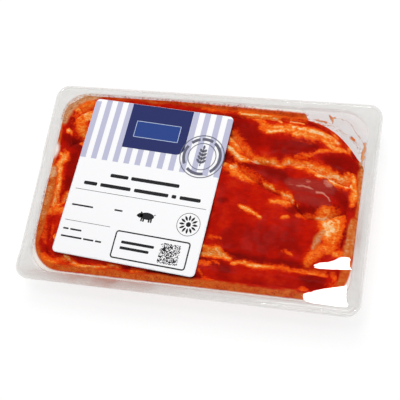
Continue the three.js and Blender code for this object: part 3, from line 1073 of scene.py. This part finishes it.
def drawn_back(ring, inset=0):
    """A ring drawn back to the back slice's side where the corner is empty, by halving."""
    places, heights = ring[:, :2], ring[:, 2]
    near, far = np.zeros(len(ring)), np.ones(len(ring))
    outside = beyond_slice(places, heights, inset)
    for _ in range(HALVINGS):
        middle = (near + far) / 2
        beyond = beyond_slice(HUB + (places - HUB) * middle[:, None], heights, inset)
        near, far = np.where(beyond, near, middle), np.where(beyond, middle, far)
    share = np.where(outside, near, 1)[:, None]
    return np.column_stack([HUB + (places - HUB) * share, heights])


def bed_height(ring, inset=0):
    """Nearly up to the film, but lower along the side of the empty corner."""
    x, y = ring[:, 0], ring[:, 1]
    empty = smoothstep(x, *EMPTY_FROM) * smoothstep(y - back_edge(x) - SIDE_COAT, -2, 2)
    return BED_TOP - SIDE_FALL * empty * (1 - smoothstep(inset, 0, 5))


CLEAN_UP = (20.5, 24.5)  # clean from these heights up
CLEAN_MIDDLE = (84, 42)  # the front corners' clean strips bend round this place
CLEAN_OUT = (20.8, 23.2)
CLEAN_FRONT = (30, 46)
CLEAN_BACK, CLEAN_BACK_FROM = (63, 66.5), (-92, -78)
CLEAN_SLANT = 0.03
NOTCH, NOTCH_HALF = (-107, 22), (3, 6)


def clean_share(points):
    """1 where the tray stays clean: its brim, its corners, and a notch at the left."""
    x, y, z = points.T
    past = np.maximum(np.column_stack([abs(x), -y]) - CLEAN_MIDDLE, 0)
    front = smoothstep(np.hypot(*past.T), *CLEAN_OUT) * smoothstep(-y, *CLEAN_FRONT)
    back = smoothstep(y + CLEAN_SLANT * x, *CLEAN_BACK) * smoothstep(x, *CLEAN_BACK_FROM)
    notch = np.exp(-(((points[:, :2] - NOTCH) / NOTCH_HALF) ** 2).sum(1))
    return np.maximum(np.maximum(front, back), notch) * smoothstep(z, *CLEAN_UP)


# %% Bed of marinade
bed_floor = SHEET - INTO_WALL
bed_rings = [well_ring(FLOOR_INSET, bed_floor, BED_FINE)]
bed_rings += foot_rings(WELL_DRAFT - INTO_WALL, bed_floor, FOOT_RADIUS - SHEET, BED_FINE)
full_height = bed_height(well_ring(0, 0, BED_FINE))
for level in range(1, BED_LEVELS + 1):
    bed_rings.append(wall_ring(FOOT_RADIUS + (full_height - FOOT_RADIUS) * level / BED_LEVELS))
bed_rings = [drawn_back(ring) for ring in bed_rings]
for inset in BED_INSETS:
    ring = well_ring(inset, 0, BED_FINE)
    ring[:, 2] = bed_height(ring, inset) if inset < BED_EDGE else BED_SUNK
    bed_rings.append(drawn_back(ring, inset))
bed_points, bed_faces = stack(bed_rings)
bed = new_piece("marinade_bed", bed_points, bed_faces, bed_finish)
dress(bed, bed_points, smoothstep(bed_points[:, 2], BED_TOP - 6, BED_TOP - 2.5), 401)
tell(bed, clear=clean_share(bed_points))

# %% Finish of the smears
smear_finish, field, place = start_finish("marinade_smear")
lumps = place.grain(2.4, 4.0, 0.65)
spots = place.grain(0.8, 2.0, 0.6)
smear_tone = 0.5 + field.share("tone") + lumps.swing(0.7) + spots.swing(0.6)
smear_colour = smear_tone.ramp((0.0, OIL_PALE), (0.34, OIL), (0.66, OIL_DEEP), (1.0, MARINADE))
cover = field.share("cover")
ragged = (cover + lumps.swing(0.7) + spots.swing(0.6)).rise(0.3, 0.62) * cover.rise(0.02, 0.7)
shader = surface(field, smear_colour, 0.3 + lumps * 0.1, 0.05)
close_finish(field, see_through(field, shader, ragged))


# %% [markdown]
# ## The top film
# The film is far thinner than paper and welded to the flange. It is taut over the meat and
# shows mostly by what it mirrors. Near the front right corner, where the well is empty, it
# waves a little, and there it catches the softbox above.

# %% Height of the film
FILM_THICK = 0.08
FILM_LOW = FLANGE_TOP + 0.04
FILM_INSET = 1
FILM_RISE = 0.22         # how much the film bulges over the meat
FILM_RAMP = 15           # over this far from the well's edge
RIPPLES = ((0.04, 30, 71), (0.012, 11, 72))  # height, size and seed


def film_height(places):
    """Height of the film's underside."""
    x, y = places.T
    inside_x = smoothstep(WELL_HALF_X - abs(x), -0.5, FILM_RAMP)
    inside_y = smoothstep(WELL_HALF_Y - abs(y), -0.5, FILM_RAMP)
    ripple = sum(height * noise(places, size, seed) for height, size, seed in RIPPLES)
    return FILM_LOW + inside_x * inside_y * (FILM_RISE + ripple) + corner_wave(x, y)


# %% Two waves of the film over the slack front right corner
WAVE_START = -65.3
WAVE_FROM = (76, 90)     # the waves grow between these, from left to right
FRONT_SLOPE = 0.058
BACK_SLOPE = 0.095
FRONT_CREST = (-54.5, 0.32, 97)  # a slanted line: y, how much it climbs, and the x where it has that y
VALLEY = (-44, 0.07, 84)
BACK_CREST_Y, BACK_CREST_STEPS = -40.2, ((1.4, 82, 90), (4.6, 91, 101))
BACK_FALL = 20


def slanted(x, y, climb, middle):
    return y + climb * (x - middle)


def corner_wave(x, y):
    """Each wave climbs evenly to its crest. The crests run slanted to the tray's side."""
    reach = smoothstep(x, *WAVE_FROM) * smoothstep(WELL_HALF_X - x, -1, 1.2)
    front_crest, valley = slanted(x, *FRONT_CREST), slanted(x, *VALLEY)
    back_crest = BACK_CREST_Y + climbed(x, BACK_CREST_STEPS)
    climb = FRONT_SLOPE * np.clip(y - WAVE_START, 0, front_crest - WAVE_START)
    fall = FRONT_SLOPE * (front_crest - WAVE_START) * smoothstep(y, front_crest, valley)
    second = BACK_SLOPE * np.clip(y - valley, 0, back_crest - valley)
    past_crest = smoothstep(y, back_crest, back_crest + BACK_FALL)
    second_fall = BACK_SLOPE * (back_crest - valley) * past_crest
    return reach * (climb - fall + second - second_fall)


# %% Finish and sheet of the film
FILM_HAZE = 0.002
FILM_GLOSS = 0.03

film_finish, field, place = start_finish("clear_film")
haze = place.grain(14, 2.0) * FILM_HAZE
hazy = see_through(field, surface(field, paint(240, 238, 236), 0.3), haze)
close_finish(field, glossy_skin(field, hazy, FILM_GLOSS))

FILM_HALF = (TRAY_HALF_X - FILM_INSET, TRAY_HALF_Y - FILM_INSET)
places, quads = rounded_grid(*FILM_HALF, FLANGE_CORNER - FILM_INSET, 1.0)
film_base = film_height(places)
film_points, film_faces = sheet_solid(places, quads, film_base, film_base + FILM_THICK)
new_piece("film", film_points, film_faces, film_finish, ["top_film"])

# %% Smears inside the film
SMEAR = 0.06
SMEAR_GAP = 0.02
CLEAN_BELOW = 0.02       # the sheet is left out where fewer smears than this lie
OVER_LIP = 0.4           # the smears reach this far past the well

places, quads = rounded_grid(WELL_HALF_X + OVER_LIP, WELL_HALF_Y + OVER_LIP, WELL_CORNER, 0.9)
cover = painted("smear", places)
smeared = quads[(cover[quads] > CLEAN_BELOW).any(axis=1)]
used, smeared = np.unique(smeared, return_inverse=True)
places, cover = places[used], cover[used]
smear_top = film_height(places) - SMEAR_GAP
smear_points, smear_faces = sheet_solid(places, smeared.reshape(-1, 4), smear_top - SMEAR, smear_top)
smears = new_piece("marinade_on_film", smear_points, smear_faces, smear_finish)
tell(smears, cover=np.tile(cover, 2), tone=np.tile(oil_tone_at(places), 2))

# %% [markdown]
# ## The label
# The label is coated paper, cut with small round corners. Its print is built as ink would lie:
# thin flat shapes on the paper, one piece for each ink. Names and words are left out, and plain
# bars and simple figures keep their places.

# %% Paper
LABEL_BOTTOM = FLANGE_TOP + 0.46
PAPER = 0.14
INK = 0.03


def on_label(places):
    """From the label's own millimetres to the pack's."""
    return turned(places, LABEL_TURN) + LABEL_CENTRE


paper_finish, field, place = start_finish("label_paper")
fibre = place.grain(0.35, 3.0)
white_paper = fibre.mix(paint(243, 243, 245), paint(250, 250, 251))
relief = bump(field, 0.08, 0.1 * MM, fibre)
close_finish(field, surface(field, white_paper, 0.42 + fibre * 0.1, others=relief))

places, quads = rounded_grid(*LABEL_HALF, LABEL_CORNER, 1.0)
label_flat = np.full(len(places), LABEL_BOTTOM)
label_points, label_faces = sheet_solid(on_label(places), quads, label_flat, label_flat + PAPER)
new_piece("label_paper", label_points, label_faces, paper_finish, ["label"])


# %% Shapes of ink
def rectangle(x, y, width, height, radius=0.0, steps=5):
    """A rounded rectangle about its middle, as a loop."""
    if not radius:
        return np.array([(-1, -1), (1, -1), (1, 1), (-1, 1)]) * [width / 2, height / 2] + [x, y]
    return rounded_ring(width / 2, height / 2, radius, steps, 1, 1) + [x, y]


def frame_line(x, y, width, height, radius, line):
    inner = rectangle(x, y, width - 2 * line, height - 2 * line, radius - line)
    return (rectangle(x, y, width, height, radius), inner)


def circle(x, y, radius, steps=64):
    angles = np.arange(steps) / steps * 2 * math.pi
    return np.column_stack([x + radius * np.cos(angles), y + radius * np.sin(angles)])


def ring_line(x, y, radius, line):
    return (circle(x, y, radius), circle(x, y, radius - line))


def arc_bar(x, y, radius, width, start, end, steps=10):
    """A curved bar along a circle between two angles, in degrees."""
    angles = np.radians(np.linspace(start, end, steps))
    out = np.column_stack([np.cos(angles), np.sin(angles)])
    return np.vstack([out * (radius + width / 2), out[::-1] * (radius - width / 2)]) + [x, y]


def leaf(x, y, length, width, angle, steps=9):
    """A pointed leaf that starts at a place and points along an angle, in degrees."""
    along = np.linspace(0, 1, steps)
    side = np.sin(along * math.pi) ** 0.8 * width / 2
    right, left = (np.column_stack([along * length, away]) for away in (-side, side))
    return turned(np.vstack([right, left[-2:0:-1]]), math.radians(angle)) + [x, y]


def ink_piece(name, layer, shapes, finish):
    """One piece of thin closed slabs. A pair of loops is a frame with an open middle."""
    points, faces = [], []
    low = LABEL_BOTTOM + PAPER + layer * INK
    high = low + INK
    for shape in shapes:
        loops = shape if isinstance(shape, tuple) else (shape,)
        first, count = len(points), len(loops[0])
        for loop in loops:
            flat = on_label(loop)
            points += [(px, py, low) for px, py in flat] + [(px, py, high) for px, py in flat]
        sides = [(i, (i + 1) % count) for i in range(count)]
        faces += [(first + i, first + j, first + j + count, first + i + count) for i, j in sides]
        if len(loops) == 1:
            faces.append([first + count + i for i in range(count)])
            faces.append([first + count - 1 - i for i in range(count)])
            continue
        inner = first + 2 * count
        for i, j in sides:
            faces.append((first + count + i, first + count + j, inner + count + j, inner + count + i))
            faces.append((first + j, first + i, inner + i, inner + j))
            faces.append((inner + j, inner + i, inner + i + count, inner + j + count))
    piece = new_piece(name, points, faces, finish)
    piece.data.polygons.foreach_set("use_smooth", [False] * len(piece.data.polygons))


def ink_finish(name, colour, other):
    """Printed ink, with the faint unevenness of two near tones."""
    finish, field, place = start_finish(name)
    speckle = place.grain(0.6, 2.0)
    close_finish(field, surface(field, speckle.mix(colour, other), 0.4 + speckle * 0.12, 0.1))
    return finish


# %% Lavender stripes
STRIPE = 4.0
STRIPE_PITCH = 8.03
STRIPE_COUNT = 13
STRIPE_FOOT = 12.4
EDGE_MARGIN = 0.12

lavender = ink_finish("lavender_ink", paint(184, 185, 209), paint(191, 192, 215))
stripe_top = LABEL_HALF[1] - EDGE_MARGIN
stripes = []
for k in range(STRIPE_COUNT):
    middle = -LABEL_HALF[0] + EDGE_MARGIN + STRIPE / 2 + k * STRIPE_PITCH
    outermost = k in (0, STRIPE_COUNT - 1)
    top = stripe_top - (LABEL_CORNER * 0.55 if outermost else 0)
    stripes.append(rectangle(middle, (top + STRIPE_FOOT) / 2, STRIPE, top - STRIPE_FOOT))
ink_piece("ink_lavender", 0, stripes, lavender)

# %% Dark field with a bare plate
FIELD_LEFT, FIELD_RIGHT, FIELD_FOOT = -22.3, 22.0, 24.0
FIELD_CORNER = 5.5
PLATE = (-0.2, 38.6, 32.4, 12.2)

navy = ink_finish("navy_ink", paint(43, 49, 97), paint(49, 56, 106))
corner = np.radians(np.linspace(-90, 0, 9))
rounded = np.column_stack([np.cos(corner), np.sin(corner)]) * FIELD_CORNER
rounded += [FIELD_RIGHT - FIELD_CORNER, FIELD_FOOT + FIELD_CORNER]
back_corners = [[FIELD_RIGHT, stripe_top], [FIELD_LEFT, stripe_top]]
ink_piece("ink_navy", 1, [np.vstack([[FIELD_LEFT, FIELD_FOOT], rounded, back_corners])], navy)
blue = ink_finish("blue_ink", paint(44, 66, 132), paint(50, 74, 140))
ink_piece("ink_plate", 2, [rectangle(*PLATE)], blue)
pale = ink_finish("pale_ink", paint(170, 186, 216), paint(182, 196, 222))
ink_piece("ink_plate_edge", 3, [frame_line(*PLATE, 0.3, 0.45)], pale)

# %% Grey round seal with a sprig
SEAL_X, SEAL_Y = 35.2, 25.5
grey = ink_finish("grey_ink", paint(96, 96, 112), paint(108, 108, 122))
sprig = [rectangle(SEAL_X, SEAL_Y - 0.6, 0.7, 12.5)]
for rank in range(4):
    foot = SEAL_Y - 5 + rank * 2.7
    sprig += [leaf(SEAL_X, foot, 4.6 - rank * 0.4, 1.9, angle) for angle in (42, 138)]
sprig.append(leaf(SEAL_X, SEAL_Y + 5, 3.4, 1.6, 90))
bands = [arc_bar(SEAL_X, SEAL_Y, 12.6, 2.0, start, start + length) for start, length in (
    (108, 28), (66, 36), (-52, 110), (-130, 56), (150, 62))]
ink_piece("ink_grey", 3, [
    ring_line(SEAL_X, SEAL_Y, 15.5, 0.6), ring_line(SEAL_X, SEAL_Y, 9.8, 0.5), *bands, *sprig,
], grey)

# %% Dark bars where the words were
TITLE_BAR = 2.5
SMALL_BAR = 1.15

bars = []
for y, thick, runs in (
    (2.2, TITLE_BAR, ((-24.3, 13.0), (-9.2, 34.4))),
    (-5.6, TITLE_BAR, ((-41.6, 9.6), (-29.6, 22.0), (-5.0, 24.4), (21.8, 3.2), (27.4, 14.6))),
    (-22.3, SMALL_BAR, ((-45.6, 15.5),)),
    (-21.4, SMALL_BAR, ((-14.7, 5.8),)),
    (-39.7, SMALL_BAR, ((-46.8, 4.0), (-41.6, 8.2))),
    (-45.0, SMALL_BAR, ((-46.8, 15.0), (-30.6, 7.4), (-22.0, 4.4))),
    (-42.2, 1.9, ((-4.0, 23.0),)),
    (-46.2, 1.9, ((-4.0, 20.3),)),
):
    bars += [rectangle(left + width / 2, y, width, thick, thick * 0.3, 3) for left, width in runs]
RULE = 0.32
rules = [rectangle(0.3, -10.7, 93.4, RULE), rectangle(-30.8, -33.6, 32.8, RULE)]
box_line = frame_line(16.8, -44.3, 52.3, 19.4, 2.2, 0.95)

# %% A pig and a small round seal
PIG_X, PIG_Y = 8.3, -22.0


def oval(x, y, half_x, half_y):
    return circle(0, 0, 1, 28) * [half_x, half_y] + [x, y]


pig = [oval(PIG_X + 0.4, PIG_Y, 4.9, 2.5), oval(PIG_X - 4.3, PIG_Y - 0.1, 1.9, 1.7)]
pig.append(rectangle(PIG_X - 6.0, PIG_Y - 0.4, 1.3, 1.3, 0.3, 3))
pig.append(leaf(PIG_X - 3.4, PIG_Y + 1.0, 1.9, 1.2, 115))
pig += [rectangle(PIG_X + step, PIG_Y - 2.9, 1.1, 2.4, 0.2, 3) for step in (-2.9, -1.5, 2.4, 3.9)]
pig.append(leaf(PIG_X + 4.9, PIG_Y + 0.9, 1.7, 0.6, 40))

SMALL_X, SMALL_Y = 37.9, -22.8
small_seal = [ring_line(SMALL_X, SMALL_Y, 8.0, 0.35), circle(SMALL_X, SMALL_Y, 1.7, 20)]
for k in range(12):
    angle = math.radians(k * 30)
    start = (SMALL_X + 2.6 * math.cos(angle), SMALL_Y + 2.6 * math.sin(angle))
    small_seal.append(leaf(*start, 3.9, 1.5, k * 30))

# %% A square of dark and light cells, drawn by seeded chance
CODE_X, CODE_Y, CODE_SIDE = 30.2, -44.8, 13.8
CODE_CELLS = 25
draw = np.random.default_rng(5)
cells = draw.random((CODE_CELLS, CODE_CELLS)) < 0.5
cell = CODE_SIDE / CODE_CELLS
code = []
for row in range(CODE_CELLS):
    run = 0
    for column in range(CODE_CELLS + 1):
        if column < CODE_CELLS and cells[row, column]:
            run += 1
        elif run:
            x = CODE_X - CODE_SIDE / 2 + (column - run / 2) * cell
            y = CODE_Y + CODE_SIDE / 2 - (row + 0.5) * cell
            code.append(rectangle(x, y, run * cell, cell * 0.98))
            run = 0
black = ink_finish("black_ink", paint(34, 34, 36), paint(46, 46, 48))
ink_piece("ink_black", 0, [*bars, *rules, box_line, *pig, *small_seal, *code], black)

# %% [markdown]
# ## The table
# The pack was photographed on a white table so bright that its tone is lost, with only a soft
# thin shadow in front. A white floor alone would go grey in the pack's shade. So the floor also
# gives off a little light of its own, slightly cool, which a lit table would send up.

# %% Floor
FLOOR_SIZE = 6
FLOOR_GREY = (0.25, 0.25, 0.25, 1)
FLOOR_GLOW = (0.765, 0.775, 0.775, 1)

floor_finish, field, place = start_finish("pale_floor")
glow = {"Emission Color": FLOOR_GLOW, "Emission Strength": 1.0}
close_finish(field, surface(field, FLOOR_GREY, 0.8, others=glow))
bpy.ops.mesh.primitive_plane_add(size=FLOOR_SIZE, location=(0, 0, 0))
floor = bpy.context.object
floor.name = "floor"
floor.data.materials.append(floor_finish)
print("floor", FLOOR_SIZE, "m")

# %% [markdown]
# ## The camera
# The photograph looks steeply down from the front right, and the pack lies turned in the frame.
# Its place was worked out from the four corners of the flange and of the label. A camera can be
# aimed with a constraint, but then it can't roll, so its three axes are worked out here.

# %% Camera at the photograph's angle
AZIMUTH = math.radians(38.33)
ELEVATION = math.radians(66.32)
ROLL = math.radians(-30.58)
DISTANCE = 604
AIM = Vector((3.352, -5.761, FLANGE_TOP + 0.3))
LENS = 82.6
SENSOR = 36

away = Vector((
    math.sin(AZIMUTH) * math.cos(ELEVATION),
    -math.cos(AZIMUTH) * math.cos(ELEVATION),
    math.sin(ELEVATION),
))
level = (-away).cross(Vector((0, 0, 1))).normalized()
upright = level.cross(-away)
right = level * math.cos(ROLL) + upright * math.sin(ROLL)
up = upright * math.cos(ROLL) - level * math.sin(ROLL)
camera_data = bpy.data.cameras.new("camera")
camera_data.lens = LENS
camera_data.sensor_width = SENSOR
camera = bpy.data.objects.new("camera", camera_data)
bpy.context.scene.collection.objects.link(camera)
placed = Matrix((right, up, away)).transposed().to_4x4()
placed.translation = (AIM + away * DISTANCE) * MM
camera.matrix_world = placed
bpy.context.scene.camera = camera
print("camera at", [round(v, 3) for v in placed.translation])

# %% [markdown]
# ## The light
# Glossy film mirrors every lamp. A large softbox behind the pack lights it, but is kept out of
# mirrors, or its haze would wash out the meat. A small one overhead is mirrored only by the two
# waves of the film, which makes the white spots at the front right corner. The sky is bright
# near the horizon, which the flange's rounded edge picks up, and dark overhead.


# %% Softboxes
def softbox(name, place, aim, width, depth, power):
    """A rectangular lamp. Places and sizes are in metres, the power in watts."""
    lamp = bpy.data.lights.new(name, "AREA")
    lamp.shape = "RECTANGLE"
    lamp.size = width
    lamp.size_y = depth
    lamp.energy = power
    holder = bpy.data.objects.new(name, lamp)
    holder.location = place
    holder.rotation_euler = (Vector(aim) - Vector(place)).to_track_quat("-Z", "Y").to_euler()
    bpy.context.scene.collection.objects.link(holder)
    print(name, power, "W")
    return holder


KEY_PLACE = (-0.05, 0.5, 1.1)
KEY_SIZE = (0.55, 0.45)
KEY_POWER = 7.4
OVERHEAD_Y = 0.0375      # where the overhead softbox is mirrored by the waves and by nothing else
OVERHEAD_HEIGHT = 1.0
OVERHEAD_SIZE = (0.24, 0.175)
OVERHEAD_POWER = 2.4

key = softbox("key_softbox", KEY_PLACE, (0, 0, 0), *KEY_SIZE, KEY_POWER)
key.visible_glossy = False
overhead = (0, OVERHEAD_Y, OVERHEAD_HEIGHT)
softbox("overhead_softbox", overhead, (0, OVERHEAD_Y, 0), *OVERHEAD_SIZE, OVERHEAD_POWER)

# %% Sky
HORIZON = (0.85, 0.85, 0.85, 1)
OVERHEAD = (0.012, 0.012, 0.012, 1)
SKY_FADES = (0.45, 0.8)  # height on the sky where it darkens, from 0 at the horizon to 1 overhead

world = bpy.data.worlds.new("studio")
world.use_nodes = True
background = world.node_tree.nodes["Background"]
sky = Field(world.node_tree)
direction = sky.node("ShaderNodeTexCoord", output="Generated")
upward = sky.node("ShaderNodeSeparateXYZ", {}, {0: direction}, "Z")
sky_colour = upward.rise(*SKY_FADES).mix(HORIZON, OVERHEAD)
world.node_tree.links.new(sky_colour.socket, background.inputs["Color"])
bpy.context.scene.world = world
bpy.context.scene.view_settings.view_transform = "Standard"
print("sky from", HORIZON[0], "to", OVERHEAD[0])
